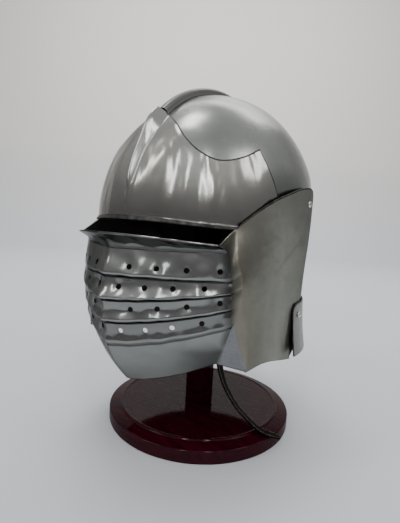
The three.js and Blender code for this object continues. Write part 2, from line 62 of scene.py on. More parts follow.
# The bowl tucks in under the cheeks and flares under the neck plate: z, half width, back.
TUCK = np.array([
    (90.5, 104.6, 99.2),
    (98, 103.5, 97.7),
    (111, 101.6, 95.9),
    (130, 100, 94.3),
    (137.5, 99, 93.8),
    (148, 94.5, 92.5),
    (174, 94.6, 94),
    (203, 96.2, 97),
    (222, 97.8, 99),
    (240, 99.4, 100.2),
    (258, 101.3, 101.1),
    (300, 105, 103.4),
])
TUCK_BLEND = 6.0
TUCK_FROM = math.radians(50)
TUCK_FULL = math.radians(78)
SKULL_FOOT = 91.5
# Lower edge of the skull in the side view: y, z.
SKULL_EDGE = [
    (-160, 222), (-60, 217), (-20, 206), (14, 203), (31, 196), (34, 186), (34, 142),
    (31, 137.4), (17.8, 136.6), (17.8, 40), (-160, 40),
]

COMB_FRONT_Y = -79.5
COMB_BACK_Z = 268.0
COMB_HEIGHT_FRONT = 7.0
COMB_HEIGHT_BACK = 9.2
COMB_TAPER = 0.22
# Half of the comb's section: distance from the middle, share of the height.
COMB_SECTION = [
    (5.6, -0.1), (5.2, 0.07), (4.8, 0.2), (4.5, 0.45), (4.1, 0.7), (3.2, 0.88), (1.7, 0.98), (0, 1),
]
COMB_SUNK = 8.0

# Upper edge of the brow plate: degrees from the front, z.
BROW_EDGE = np.array([
    (0, 310.5), (7, 309), (15.5, 300.3), (23.6, 286.4), (31.2, 275.7), (40, 269.6), (50.4, 273.8),
    (58.6, 281.8),
])
BROW_END = 72.0
BROW_END_Z = 226.0
BROW_LOW_FRONT = 219.3
BROW_LOW_SIDE = 215.2
BROW_LIFT = 1.9
BROW_SIDE_LIFT = 1.3
BROW_RIM = 1.8
BROW_RIM_HEIGHT = 3.4
BROW_SEAM = 0.9
BROW_ZONE_HEIGHT = 80.0
MM_PER_DEGREE = 1.85
# Folded fin on the brow plate: z, height, half width of its foot.
FIN = np.array([
    (226, 0, 2.6), (242, 1.2, 3), (250, 2.8, 3.6), (261, 4, 4.2), (283, 5.7, 6.4),
    (293, 8.2, 8.8), (302, 9.4, 9.2), (310.5, 8, 9.4),
])
FIN_SOFT = 0.4
FIN_POWER = 1.15

# Rows of the mask from the lip down: name, keel z, keel y, end z, end x, end y.
MASK = [
    ("lip", 207.2, -152.4, 201.9, 82, -102.9),
    ("under_lip", 201, -142.5, 199.6, 82.2, -96),
    ("gutter", 196.3, -138.6, 197.2, 83, -92.5),
    ("band1", 189, -141, 190, 84.8, -91.5),
    ("band1_low", 181.4, -144.4, 181.5, 86, -91.2),
    ("band1_crest", 175, -146.8, 175, 86.5, -91),
    ("groove1", 172, -143, 172.4, 86, -88.5),
    ("band2", 164.5, -145, 168.4, 86.3, -90),
    ("band2_crest", 155.5, -150.8, 163.6, 86.8, -90.5),
    ("groove2", 152.4, -146, 161.8, 86, -88),
    ("band3", 145.5, -144.6, 157, 86.3, -89.5),
    ("band3_crest", 136, -147, 150.6, 86.8, -89.5),
    ("groove3", 133, -142.6, 148.6, 86, -87),
    ("band4", 126.5, -142, 143.4, 86.4, -88),
    ("band4_crest", 116.5, -141.4, 136.8, 87, -87),
    ("groove4", 113.8, -139, 134.8, 86.6, -85.4),
    ("chin", 103, -134.4, 125.5, 82.7, -84),
    ("chin_low", 90, -126.4, 113, 77.2, -82.4),
    ("rim", 76.4, -115, 99.3, 71, -81),
]
MASK_ROW = {row[0]: row[1:] for row in MASK}
MASK_STRAIGHT = 0.67
MASK_POWER = 3.4
MASK_LIFT = 1.6
KEEL_SOFT = 0.016
# Smooth stretches of the mask between its creases: rows, samples, share cut off at each end.
STRETCHES = [
    (("lip", "under_lip", "gutter"), 12, 0.0, 0.12),
    (("gutter", "band1", "band1_low", "band1_crest"), 16, 0.08, 0.07),
    (("band1_crest", "groove1"), 2, 0.36, 0.2),
    (("groove1", "band2", "band2_crest"), 14, 0.05, 0.09),
    (("band2_crest", "groove2"), 2, 0.32, 0.2),
    (("groove2", "band3", "band3_crest"), 13, 0.05, 0.09),
    (("band3_crest", "groove3"), 2, 0.34, 0.2),
    (("groove3", "band4", "band4_crest"), 13, 0.05, 0.09),
    (("band4_crest", "groove4"), 2, 0.36, 0.2),
    (("groove4", "chin", "chin_low", "rim"), 26, 0.04, 0.0),
]
CREASE_STEPS = 4
# How far the middle of each band lies in, in millimetres.
BAND_HOLLOW = {"band1_crest": 0.1, "band2_crest": 0.3, "band3_crest": 0.8, "band4_crest": 1.6}
# Share of painted shade in the hollows of the mask and under its lip, and a little on the two lowest bands.
PAINTED_SHADE = {"under_lip": 0.42, "gutter": 0.8, "groove1": 1.0, "groove2": 1.0, "groove3": 1.0, "groove4": 0.75,
         "band3": 0.12, "band4": 0.28}
# Share of painted shade at the mask's ends, under the chin's ends, at the lip's tip, beside the bands and
# under the neck plate, and on the mask's far half and its lip.
END_SHADE = 0.75
CHIN_SHADE = 0.85
LIP_TIP_SHADE = 0.72
FLANGE_SHADE = 0.7
NECK_GAP_SHADE = 0.95
FAR_HALF_SHADE = 0.2
FAR_LIP_SHADE = 0.75
# Columns of points across half the mask, its flange, the bend at the fold and the cheek.
MASK_COLUMNS = 72
FLANGE_COLUMNS = 7
BEND_COLUMNS = 11
CHEEK_COLUMNS = 63
# Fold between the flange beside the mask and the cheek: z, x, y.
FOLD = np.array([
    (98.3, 98.3, -77), (117, 93, -81.6), (135, 88.4, -84.6), (146, 91.6, -85.4), (160, 94, -86.1),
    (176, 94, -85.4), (190, 90, -87.4), (200, 86.4, -86), (214.6, 83.2, -82.4),
])
# Cheek: z, where its even side starts, widest half width, narrowing 100 mm further forward.
CHEEK = np.array([
    (84, -72, 98.2, 0), (98, -74, 98.3, 0), (135, -75, 98.8, 2.4), (150, -76, 99.1, 3.6),
    (176, -77, 100.2, 5.7), (200, -79, 102, 13), (220, -78, 103.3, 21.9), (256, -76, 103.7, 21.9),
])
CHEEK_POWER = 3.3
CHEEK_BACK_RADIUS = 92.0
CHEEK_BACK_Y = 42.0
# Upper and lower edges of the cheek: y, z.
CHEEK_TOP = np.array([
    (-82.4, 214.6), (-77.5, 219.6), (-72.2, 223.9), (-63.7, 230.1), (-54, 235.9), (-42, 241.6),
    (-29, 245.8), (-4, 252.5), (21, 255.6), (34, 254), (42, 249),
])
CHEEK_FOOT = np.array([(-77, 98.3), (-42.5, 96.5), (5.7, 86.2), (42, 79)])
# Notch at the cheek's lower rear in the side view: y, z.
NOTCH = [
    (15.6, 40), (15.6, 86.4), (25, 90.8), (25, 108), (21.5, 113), (15.6, 116.5), (15.6, 134),
    (17.6, 138.4), (21, 139.8), (29, 140), (35, 143.4), (80, 144), (80, 40),
]
# Soft crease of the cheek: z, y.
JAW = np.array([(110, -50), (140, -48), (161, -42), (180, -30), (199, -2), (215, 25)], float)
JAW_DEPTH = 0.5
# Slow dents in the mask: height, waves per millimetre across and up, start; and the share of them used.
DENTS = [(0.5, 1 / 21, 1 / 70, 1), (0.3, 1 / 12.5, -1 / 41, 2), (0.35, 1 / 33, 1 / 19, 0.5)]
HAMMERED = 0.42
# Share of the bands' depth that is missing on the mask's far half.
SHALLOW = 0.78
# Breaths: row, first distance from the keel, step, count.
BREATHS = [
    ("band1_low", 19.3, 20.4, 4),
    ("band2", 11.6, 20, 4),
    ("band3", 21, 20, 4),
    ("band4", 11.5, 19.6, 4),
]
BREATH_RADIUS = 2.25
BREATH_REACH = 8.0
BREATH_DISH = 0.65
BREATH_DISH_RADIUS = 4.4

# Neck plate: z, half width, back.
NECK = np.array([
    (90.5, 106.8, 101.5), (98, 105.7, 100), (111, 103.9, 98.2), (130, 102.3, 96.7), (141, 101.6, 96.2),
])
NECK_FRONT = math.radians(85.9)
NECK_CORNER = 9.0

PIVOT = (21.5, 240.5)
NECK_RIVET = (20.6, 130.0)
RIVET_HEAD = 3.3
RIVET_DOME = 2.0
RIVET_SHANK = 1.7
RIVET_TAIL = 3.4
RIVET_TAIL_HEIGHT = 1.2
RIVET_CHAMFER = 0.3
# Extra room under the rivets' heads and above their tails.
PIVOT_ROOM = (0.2, 1.1)
NECK_RIVET_ROOM = (0.3, 1.3)

STRAP_WIDTH = 10.0
STRAP_THICKNESS = 2.0
STRAP_TIP = 12.0
STRAP_TIP_WIDTH = 0.3
# A quarter of the strap's section: shares of half its width and half its thickness.
STRAP_SECTION = [(1, 0), (0.97, 0.55), (0.9, 0.88), (0.82, 0.97), (0.72, 1)]
# Strips of the strap's section that carry the pale lines along its edges.
STITCHED = (3, 6, 13, 16)
STRAP_ROUTE = np.array([
    (84.2, -55.5, 240), (84.4, -55.8, 225), (84.5, -56.5, 205), (79, -58, 180), (71, -59.4, 152),
    (63.8, -60, 125), (59.6, -58.6, 104), (59.5, -55, 86.2), (62.6, -49, 66.6), (66.5, -43, 53.7),
    (71.5, -36.7, 41.8), (77, -31.5, 33.4), (84.1, -25, 23.9), (91.6, -19.4, 17.4), (99.2, -14.6, 14.6),
    (106.2, -11, 12.6),
], float)
STRAP_FLAT_START = np.array((0.41, 0.91, 0))
STRAP_FLAT_END = np.array((-0.47, 0.88, 0))

# The base's turned section: radius, z.
BASE_TOP = 16.6
BASE_SECTION = [
    (0, 0), (100, 0), (100, 13), (88, 15.8), (87.2, 17.2), (85.4, 17.2), (84.6, BASE_TOP), (0, BASE_TOP),
]
BASE_EDGE = 1.4
POST_RADIUS = 15.2
POST_CROWN = 345.2
POST_EDGE = 1.0

# The photograph's camera
IMAGE_WIDTH = 400
IMAGE_HEIGHT = 523
FOCAL_PIXELS = 395.0
CAMERA_PLACE = Vector((0.2433, -0.3582, 0.2267))
CAMERA_TURN = math.radians(35.07)
CAMERA_PITCH = math.radians(7.0)
CAMERA_ROLL = math.radians(3.02)
SENSOR = 36.0
VIEW_AHEAD = Vector((-math.sin(CAMERA_TURN), math.cos(CAMERA_TURN), 0))
VIEW_RIGHT = Vector((math.cos(CAMERA_TURN), math.sin(CAMERA_TURN), 0))
UP = Vector((0, 0, 1))

# Finishes
# Stretch of a noise along the three axes.
EVEN = (1, 1, 1)
UPRIGHT = (1, 1, 0.12)
# Finish of the brow plate from its lower edge up, darker and browner near that edge: share, colour,
# roughness.
BROW_ZONES = [
    (0.0, (0.225, 0.213, 0.198), 0.24),
    (0.2, (0.315, 0.307, 0.285), 0.21),
    (0.45, (0.375, 0.371, 0.343), 0.19),
    (1.0, (0.365, 0.363, 0.337), 0.2),
]
# Finish of the face plate from the mask over the flange and the fold to the cheek's back.
FACE_ZONES = [
    (0.0, (0.3, 0.307, 0.293), 0.18),
    (0.1, (0.24, 0.244, 0.254), 0.24),
    (0.2, (0.22, 0.224, 0.234), 0.3),
    (0.25, (0.235, 0.221, 0.178), 0.34),
    (0.42, (0.265, 0.259, 0.222), 0.42),
    (0.62, (0.375, 0.377, 0.335), 0.42),
    (1.0, (0.325, 0.327, 0.293), 0.4),
]
# Zones of the flange, the bend at the fold and the cheek.
FLANGE_ZONE = (0.15, 0.28)
BEND_ZONE = (0.25, 0.34)
CHEEK_ZONE = (0.36, 1)
# How dark the painted shade makes the plate's colour where its share is full.
PAINTED_SHADE_TONE = 0.16
SCRATCH = 0.12

# Room
WHITE = (1, 1, 1)
DAYLIGHT = (0.95, 0.98, 1)
# Soft panels round the helmet: name, azimuth, elevation, distance, size, power, colour.
PANELS = [
    ("ceiling", -86, 81, 1.5, (0.5, 0.36), 5, WHITE),
    ("side", 98, 42, 1.6, (0.4, 0.5), 2.4, WHITE),
    ("window_a", 17, 38, 1.7, (0.14, 1.1), 4.2, DAYLIGHT),
    ("window_b", 50, 38, 1.7, (0.16, 1.1), 5, DAYLIGHT),
    ("window_c", -33, 42, 1.7, (0.2, 1.0), 4, WHITE),
    ("behind", 190, 50, 1.5, (0.8, 0.6), 2.4, WHITE),
]
PANEL_AIM = Vector((0, 0, 0.22))
WALL_WASH = 22
# Brightness of the room from the horizon up: height, value.
ROOM_STOPS = [(0.0, 0.23), (0.3, 0.34), (0.75, 0.7)]


# Numbers

def mix(a, b, t):
    return a + (b - a) * t


def ease(low, high, value):
    t = np.clip((value - low) / (high - low), 0, 1)
    return t * t * (3 - 2 * t)


def lesser(a, b, over):
    """The smaller of two lengths, rounded over where they are nearly equal."""
    near = np.maximum(over - np.abs(a - b), 0) / over
    return np.minimum(a, b) - near * near * over * 0.25


def curve(keys, values, at):
    """Smooth curve through values, or rows of points, at rising keys."""
    def wide(numbers):
        return np.reshape(numbers, np.shape(numbers) + (1,) * (values.ndim - 1))

    last = len(keys) - 1
    before = np.maximum(np.arange(last + 1) - 1, 0)
    after = np.minimum(np.arange(last + 1) + 1, last)
    slope = (values[after] - values[before]) / wide(keys[after] - keys[before])
    at = np.clip(np.asarray(at, float), keys[0], keys[-1])
    i = np.clip(np.searchsorted(keys, at, side="right") - 1, 0, last - 1)
    span = wide(keys[i + 1] - keys[i])
    t = wide(at - keys[i]) / span
    start = values[i] * (1 + 2 * t) * (1 - t) ** 2 + slope[i] * span * t * (1 - t) ** 2
    end = values[i + 1] * t * t * (3 - 2 * t) + slope[i + 1] * span * t * t * (t - 1)
    return start + end


def along(table, at, column):
    """Smooth curve through one column of a table whose first column rises."""
    return curve(table[:, 0], table[:, column], at)


def round_off(start, corner, end, t):
    """Place on the arc that rounds a corner."""
    return (1 - t) ** 2 * start + 2 * t * (1 - t) * corner + t * t * end


def steps(count):
    """Even shares from just after 0 up to 1."""
    return np.linspace(0, 1, count + 1)[1:]


def unit(vectors):
    return vectors / np.maximum(np.linalg.norm(vectors, axis=-1, keepdims=True), 1e-12)


# Meshes

# Order of a plate's materials
OUTSIDE = 0
INSIDE = 1
EDGE = 2
COMB = 3


def new_object(name, points, faces, finish=None, materials=()):
    """A mesh object from points in millimetres; finish numbers each face's material."""
    mesh = bpy.data.meshes.new(name)
    mesh.from_pydata((np.asarray(points) * MM).tolist(), [], faces)
    for material in materials:
        mesh.materials.append(material)
    if finish is not None:
        mesh.polygons.foreach_set("material_index", np.array(finish, np.int32))
    obj = bpy.data.objects.new(name, mesh)
    bpy.context.scene.collection.objects.link(obj)
    turn_out(mesh)
    return obj


def turn_out(mesh):
    """Makes every face point outwards."""
    bm = bmesh.new()
    bm.from_mesh(mesh)
    if bm.calc_volume(signed=True) < 0:
        bmesh.ops.reverse_faces(bm, faces=bm.faces)
    bm.to_mesh(mesh)
    bm.free()


def finish_mesh(obj, sharp_degrees=38):
    """Smooth shading that breaks at folds sharper than the given angle."""
    bm = bmesh.new()
    bm.from_mesh(obj.data)
    bmesh.ops.remove_doubles(bm, verts=bm.verts, dist=2e-6)
    limit = math.radians(sharp_degrees)
    for face in bm.faces:
        face.smooth = True
    for edge in bm.edges:
        edge.smooth = len(edge.link_faces) == 2 and edge.calc_face_angle(0) < limit
    bm.to_mesh(obj.data)
    bm.free()


def grid_normals(grid, ring=False):
    """Unit normals of a grid of points, rows first."""
    if ring:
        across = np.roll(grid, -1, 1) - np.roll(grid, 1, 1)
    else:
        across = np.gradient(grid, axis=1)
    return unit(np.cross(across, np.gradient(grid, axis=0)))


def plate(name, outer, inner, materials, ring=False, pole=None, paint=None, rim=None):
    """Closed sheet between two grids with a rounded edge; a pole closes a ring's last row.

    The materials are the outside's, the inside's and the edge's. paint gives the finish of each
    outside face where it isn't the outside's, and rim that of the edge beside each border point.
    """
    rows, columns = outer.shape[:2]
    index = np.arange(rows * columns).reshape(rows, columns)
    points = [outer.reshape(-1, 3), inner.reshape(-1, 3)]
    offset = rows * columns
    faces = []
    finish = []
    wrap = columns if ring else columns - 1
    for i in range(rows - 1):
        for j in range(wrap):
            k = (j + 1) % columns
            quad = [index[i, j], index[i, k], index[i + 1, k], index[i + 1, j]]
            faces.append([int(q) for q in quad])
            faces.append([int(q) + offset for q in reversed(quad)])
            finish += [OUTSIDE if paint is None else paint[i][j], INSIDE]
    count = 2 * offset
    if pole is not None:
        points.append(np.array(pole))
        for j in range(columns):
            k = (j + 1) % columns
            faces.append([int(index[-1, j]), int(index[-1, k]), count])
            faces.append([int(index[-1, k]) + offset, int(index[-1, j]) + offset, count + 1])
            finish += [OUTSIDE, INSIDE]
        count += 2
    if ring:
        border = [(0, j) for j in range(columns)]
        inward = [(1, j) for j in range(columns)]
    else:
        border = [(0, j) for j in range(columns - 1)]
        border += [(i, columns - 1) for i in range(rows - 1)]
        border += [(rows - 1, j) for j in range(columns - 1, 0, -1)]
        border += [(i, 0) for i in range(rows - 1, 0, -1)]
        inward = [(min(max(i, 1), rows - 2), min(max(j, 1), columns - 2)) for i, j in border]
    front = np.array([outer[p] for p in border])
    back = np.array([inner[p] for p in border])
    out = unit(front - np.array([outer[p] for p in inward]))
    middle, half = (front + back) / 2, (front - back) / 2
    bulge = np.linalg.norm(half, axis=1, keepdims=True)
    loops = [[int(index[p]) for p in border]]
    for angle in (45, 90, 135):
        a = math.radians(angle)
        points.append(middle + half * math.cos(a) + out * bulge * math.sin(a))
        loops.append([count + k for k in range(len(border))])
        count += len(border)
    loops.append([int(index[p]) + offset for p in border])
    for low, high in zip(loops, loops[1:]):
        for k in range(len(border)):
            m = (k + 1) % len(border)
            faces.append([low[m], low[k], high[k], high[m]])
            finish.append(EDGE if rim is None else rim(*border[k]))
    return new_object(name, np.concatenate(points), faces, finish, materials)


def wall(count, sides, base=0):
    """Faces between rings of points that follow each other."""
    faces = []
    for low in range(base, base + (count - 1) * sides, sides):
        for j in range(sides):
            k = (j + 1) % sides
            faces.append([low + j, low + k, low + sides + k, low + sides + j])
    return faces


def tube(count, sides, base=0):
    """Faces between rings of points and over both ends."""
    top = base + (count - 1) * sides
    ends = [list(range(base, base + sides))[::-1], list(range(top, top + sides))]
    return wall(count, sides, base) + ends


def loft(name, rings):
    """Closed body through rings of points."""
    return new_object(name, rings.reshape(-1, 3), tube(*rings.shape[:2]))


def lathe(name, profile, sides):
    """Body turned about Z from a profile of radius and z that starts and ends on the axis."""
    turns = np.linspace(0, 2 * math.pi, sides, endpoint=False)
    wheel = np.stack([np.cos(turns), np.sin(turns)], 1)
    middle = np.array(profile[1:-1], float)
    rings = np.concatenate([
        middle[:, None, :1] * wheel[None],
        np.repeat(middle[:, None, 1:], sides, 1),
    ], 2)
    points = np.concatenate([rings.reshape(-1, 3), [(0, 0, profile[0][1]), (0, 0, profile[-1][1])]])
    first, last = len(points) - 2, len(points) - 1
    faces = wall(len(middle), sides)
    top = (len(middle) - 1) * sides
    for j in range(sides):
        k = (j + 1) % sides
        faces.append([first, k, j])
        faces.append([last, top + j, top + k])
    return new_object(name, points, faces)


def rounded(profile, radius, steps=5):
    """A profile whose inner corners are rounded."""
    points = [np.array(p, float) for p in profile]
    made = [points[0]]
    for before, corner, after in zip(points, points[1:], points[2:]):
        into, away = before - corner, after - corner
        reach = min(radius, np.linalg.norm(into) * 0.45, np.linalg.norm(away) * 0.45)
        start = corner + unit(into) * reach
        end = corner + unit(away) * reach
        for t in np.linspace(0, 1, steps):
            made.append(round_off(start, corner, end, t))
    made.append(points[-1])
    return [tuple(p) for p in made]


def prism(name, outline):
    """Block across the helmet from an outline of y and z."""
    reach = 130.0
    ends = [[(x, y, z) for y, z in outline] for x in (-reach, reach)]
    return cutter(loft(name, np.array(ends, float)))


def cutter(obj, finish=None):
    """Lets a body leave its faces on a plate that it cuts or joins, in the given finishes or the edge's."""
    for _ in range(COMB + 1):
        obj.data.materials.append(None)
    if finish is None:
        finish = np.full(len(obj.data.polygons), EDGE)
    obj.data.polygons.foreach_set("material_index", finish.astype(np.int32))
    return obj


def boolean(obj, other, operation):
    """Cuts or joins another body and deletes it."""
    step = obj.modifiers.new("cut", "BOOLEAN")
    step.operation = operation
    step.solver = "EXACT"
    step.object = other
    bpy.context.view_layer.update()
    made = obj.evaluated_get(bpy.context.evaluated_depsgraph_get())
    mesh = bpy.data.meshes.new_from_object(made)
    obj.modifiers.clear()
    obj.data = mesh
    bpy.data.objects.remove(other)


# Skull

def skull_point(turn, z):
    turn, z = np.broadcast_arrays(np.asarray(turn, float), np.asarray(z, float))
    height = np.maximum(z - LEVEL, 0) / RISE
    shrink = np.sqrt(np.maximum(1 - height * height, 0))

    def tucked(full, column):
        tuck = along(TUCK, z, column)
        return np.where(z > LEVEL, lesser(full * shrink, tuck, TUCK_BLEND), tuck)

    half = mix(HALF_WIDTH * shrink, tucked(HALF_WIDTH, 1), ease(TUCK_FROM, TUCK_FULL, np.abs(turn)))
    reach = np.where(np.cos(turn) > 0, FRONT * shrink, tucked(BACK, 2))
    return np.stack([half * np.sin(turn), MIDDLE_Y - reach * np.cos(turn), z], -1)


def skull_normal(turn, z):
    small = 0.01
    across = skull_point(turn + small, z) - skull_point(turn - small, z)
    up = skull_point(turn, z + 0.2) - skull_point(turn, z - 0.2)
    return unit(np.cross(across, up))


def skull_offset(turn, z, distance):
    return skull_point(turn, z) + skull_normal(turn, z) * np.asarray(distance)[..., None]


def make_skull(materials):
    columns = 240
    turns = np.linspace(-math.pi, math.pi, columns, endpoint=False)
    tail = np.linspace(SKULL_FOOT, LEVEL, 60)
    dome = LEVEL + RISE * np.sin(np.radians(np.linspace(0, 88.6, 64)[1:]))
    levels = np.concatenate([tail, dome])
    turn, z = np.meshgrid(turns, levels)
    outer = skull_point(turn, z)
    inner = skull_offset(turn, z, np.full(z.shape, -SHEET))
    pole = [(0, MIDDLE_Y, CROWN), (0, MIDDLE_Y, CROWN - SHEET)]
    obj = plate("skull_shell", outer, inner, materials, ring=True, pole=pole)
    boolean(obj, prism("skull_cut", SKULL_EDGE), "DIFFERENCE")
    boolean(obj, make_comb(), "UNION")
    finish_mesh(obj)
    return obj


def make_comb():
    stations = 90
    front = math.asin((COMB_FRONT_Y - MIDDLE_Y) / FRONT)
    rear = math.acos((COMB_BACK_Z - LEVEL) / RISE)
    t = np.linspace(0, 1, stations)
    turn = mix(front, rear, t)
    reach = np.where(turn < 0, FRONT, BACK)
    foot = np.stack([0 * t, MIDDLE_Y + reach * np.sin(turn), LEVEL + RISE * np.cos(turn)], 1)
    out = unit(np.stack([0 * t, np.sin(turn) / reach, np.cos(turn) / RISE], 1))
    full = mix(COMB_HEIGHT_FRONT, COMB_HEIGHT_BACK, ease(0.2, 0.7, t)) * ease(0, COMB_TAPER, 1 - t)
    half = [(-x, up) for x, up in COMB_SECTION[:-1]] + [(x, up) for x, up in COMB_SECTION[::-1]]
    rings = np.array([[
        foot[i] + np.array((x, 0, 0)) + out[i] * (up * full[i] if up > 0 else up * COMB_SUNK)
        for x, up in half] for i in range(stations)])
    obj = loft("comb", rings)
    sides = len(half)
    # The strips at the comb's foot take the dark edge finish as a painted shadow line.
    strip = np.arange(len(obj.data.polygons)) % sides
    foot = (strip == 0) | (strip == sides - 2)
    return cutter(obj, np.where(foot, EDGE, COMB))


# Brow plate

def brow_top(degrees):
    cusp, cusp_z = BROW_EDGE[-1]
    down = mix(cusp_z, BROW_END_Z, (degrees - cusp) / (BROW_END - cusp))
    return np.where(degrees <= cusp, along(BROW_EDGE, degrees, 1), down)


def make_brow(materials):
    fine = np.arange(0, 9.01, 0.3)
    wide = np.concatenate([np.linspace(9.8, BROW_EDGE[-1, 0], 56), np.linspace(59.4, BROW_END, 17)])
    half = np.concatenate([fine, wide])
    degrees = np.concatenate([-half[:0:-1], half])
    distance = np.abs(degrees)
    low = mix(BROW_LOW_FRONT, BROW_LOW_SIDE, ease(8, 55, distance))
    top = brow_top(distance)
    slope = np.gradient(top, degrees) / MM_PER_DEGREE
    seam = np.minimum(BROW_SEAM * np.sqrt(1 + slope ** 2), 0.4 * (top - low))
    parts = np.concatenate([np.linspace(0, 0.06, 9), np.linspace(0.075, 1, 76)])[:, None]
    z = np.concatenate([mix(low, top - seam, parts), top[None]])
    turn = np.broadcast_to(degrees, z.shape)
    flare = np.maximum(1 - (z - low) / BROW_RIM_HEIGHT, 0) ** 2 * (1 - ease(44, 58, np.abs(turn)))
    lift = BROW_LIFT + BROW_SIDE_LIFT * ease(46, 60, np.abs(turn)) + BROW_RIM * flare
    outer = skull_offset(np.radians(turn), z, lift)
    soft = np.sqrt(outer[..., 0] ** 2 + FIN_SOFT ** 2) - FIN_SOFT
    beside = soft / along(FIN, z, 2)
    fold = along(FIN, z, 1) * np.maximum(1 - beside, 0) ** FIN_POWER
    outer = outer + skull_normal(0 * z, z) * fold[..., None]
    inner = outer - grid_normals(outer) * SHEET
    paint = np.full((len(z) - 1, len(degrees) - 1), OUTSIDE)
    # Painted shadow lines: the top row, except at the fin, and the lowest rows take the dark edge finish.
    paint[-1, np.abs(degrees[:-1] + 0.2) > 5] = EDGE
    paint[:4] = EDGE
    obj = plate("brow_shell", outer, inner, materials, paint=paint.tolist())
    stain(obj, outer.reshape(-1, 3), zone=np.clip((z - low) / BROW_ZONE_HEIGHT, 0, 1).reshape(-1))
    finish_mesh(obj)
    return obj


# Face plate

def mask_point(row, s):
    keel_z, keel_y, end_z, end_x, end_y = row
    soft = np.sqrt(s * s + KEEL_SOFT ** 2) - KEEL_SOFT
    bend = MASK_STRAIGHT * soft + (1 - MASK_STRAIGHT) * s ** MASK_POWER
    return np.stack([end_x * s, mix(keel_y, end_y, bend), mix(keel_z, end_z, s ** MASK_LIFT)], -1)


def spline(points, samples):
    """Smooth curves down rows of points, at the given shares of their mean length."""
    span = np.linalg.norm(np.diff(points, axis=0), axis=-1).mean(-1)
    keys = np.concatenate([[0], np.cumsum(span)])
    return curve(keys / keys[-1], points, samples)


def mask_grid(s):
    """Fine rows of the mask's left half with its creases rounded, and each row's painted shade and hollow."""
    rows, grime, lying_in = [], [], []
    for k, (names, samples, cut_in, cut_out) in enumerate(STRETCHES):
        keys = np.array([mask_point(MASK_ROW[name], s) for name in names])
        stretch = spline(keys, np.linspace(cut_in, 1 - cut_out, samples))
        if k:
            hollow = PAINTED_SHADE.get(names[0], 0.0)
            for t in np.linspace(0, 1, CREASE_STEPS + 2)[1:-1]:
                rows.append(round_off(before, keys[0], stretch[0], t))
                grime.append(hollow)
                lying_in.append(0.0)
        rows.extend(stretch)
        lying_in.extend(BAND_HOLLOW.get(names[-1], 0.0) * np.sin(math.pi * np.linspace(0, 1, samples)))
        grime.extend([PAINTED_SHADE.get(names[-1], 0.0) / 2 if samples == 2 else PAINTED_SHADE.get(names[1], 0.0)] * samples)
        before = stretch[-1]
    return np.array(rows), np.array(grime), np.array(lying_in)


def hammered(x, z):
    """Slow dents in the mask, in millimetres."""
    turn = 2 * math.pi
    return sum(height * np.sin(turn * (x * across + z * up) + start) for height, across, up, start in DENTS)


def jaw_crease(y, z):
    """How far the cheek swells behind its soft crease."""
    line = along(JAW, z, 1)
    beyond = ease(-4, 4, y - line) * ease(120, 150, z) * ease(216, 196, z)
    return JAW_DEPTH * beyond


def cheek_x(y, z):
    widest = along(CHEEK, z, 2)
    ahead = MIDDLE_Y - y
    front = widest - along(CHEEK, z, 3) * (np.maximum(ahead, 0) / 100) ** CHEEK_POWER
    return np.where(ahead < 0, widest - ahead * ahead / (2 * CHEEK_BACK_RADIUS), front)


def cheek_point(y, drop):
    z = mix(along(CHEEK_TOP, y, 1), along(CHEEK_FOOT, y, 1), drop)
    return np.stack([cheek_x(y, z), y, z], -1)


def breath_places():
    """Centre and outward direction of every hole on the left half."""
    places = []
    for name, first, step, count in BREATHS:
        row = MASK_ROW[name]
        for k in range(count):
            s = (first + step * k) / row[3]
            run = mask_point(row, s + 0.02) - mask_point(row, s - 0.02)
            places.append((mask_point(row, s), unit(np.array((run[1], -run[0], 0)))))
    return places


def breath_cutter():
    """All the holes as one body of round pins."""
    sides = 28
    turns = np.linspace(0, 2 * math.pi, sides, endpoint=False)
    points, faces = [], []
    for centre, out in breath_places():
        for side in (1, -1):
            flip = np.array((side, 1, 1))
            axis = out * flip
            across = unit(np.cross(axis, (0, 0, 1)))
            up = np.cross(across, axis)
            ring = np.cos(turns)[:, None] * across + np.sin(turns)[:, None] * up
            base = len(points)
            for reach in (-BREATH_REACH, BREATH_REACH):
                points.extend(centre * flip + axis * reach + ring * BREATH_RADIUS)
            faces.extend(tube(2, sides, base))
    return cutter(new_object("breath_pins", points, faces))


def shallow(half, s):
    """The half mask with its bands' depth taken down away from the keel."""
    names = ("gutter", "band1_crest", "band2_crest", "band3_crest", "band4_crest", "chin")
    keys = np.array([mask_point(MASK_ROW[name], s) for name in names])
    share = SHALLOW * ease(0.12, 0.45, s) * ease(1, 0.9, s)
    for j in range(len(s)):
        z = half[:, j, 2]
        within = (z < keys[0, j, 2]) & (z > keys[-1, j, 2])
        level = np.interp(-z, -keys[:, j, 2], keys[:, j, 1])
        half[within, j, 1] = mix(half[within, j, 1], level[within], share[j])
    return half


def mask_dents(mask, lying_in, s):
    """How far in each point of the mask lies, in millimetres."""
    z = mask[..., 2]
    dents = HAMMERED * hammered(mask[..., 0], z) * ease(100, 120, z) * ease(0, 0.05, s) * ease(1, 0.9, s)
    dents = dents + lying_in[:, None] * mix(1, 0.5, s) * ease(1.02, 0.92, s)
    for centre, _ in breath_places():
        near = np.linalg.norm(mask - centre, axis=-1) / BREATH_DISH_RADIUS
        dents = dents + BREATH_DISH * np.exp(-near ** 2)
    dents[:6] *= np.linspace(0, 1, 6)[:, None]
    return dents


def mask_grime(mask, grime, s):
    """Painted shade in the mask's hollows, at its ends, under the chin's ends and at the lip's tip."""
    z = mask[..., 2]
    shade_share = np.maximum(grime[:, None], END_SHADE * ease(0.93, 1, s) * ease(100, 125, z))
    shade_share = np.maximum(shade_share, CHIN_SHADE * ease(0.45, 1, s) * ease(122, 110, z))
    return np.maximum(shade_share, LIP_TIP_SHADE * ease(0.34, 0.06, s) * ease(195, 199, z))


def both_halves(far, near):
    """Columns from the far half's back over the keel to the near half's back."""
    return np.concatenate([far[:, :0:-1], near], 1)


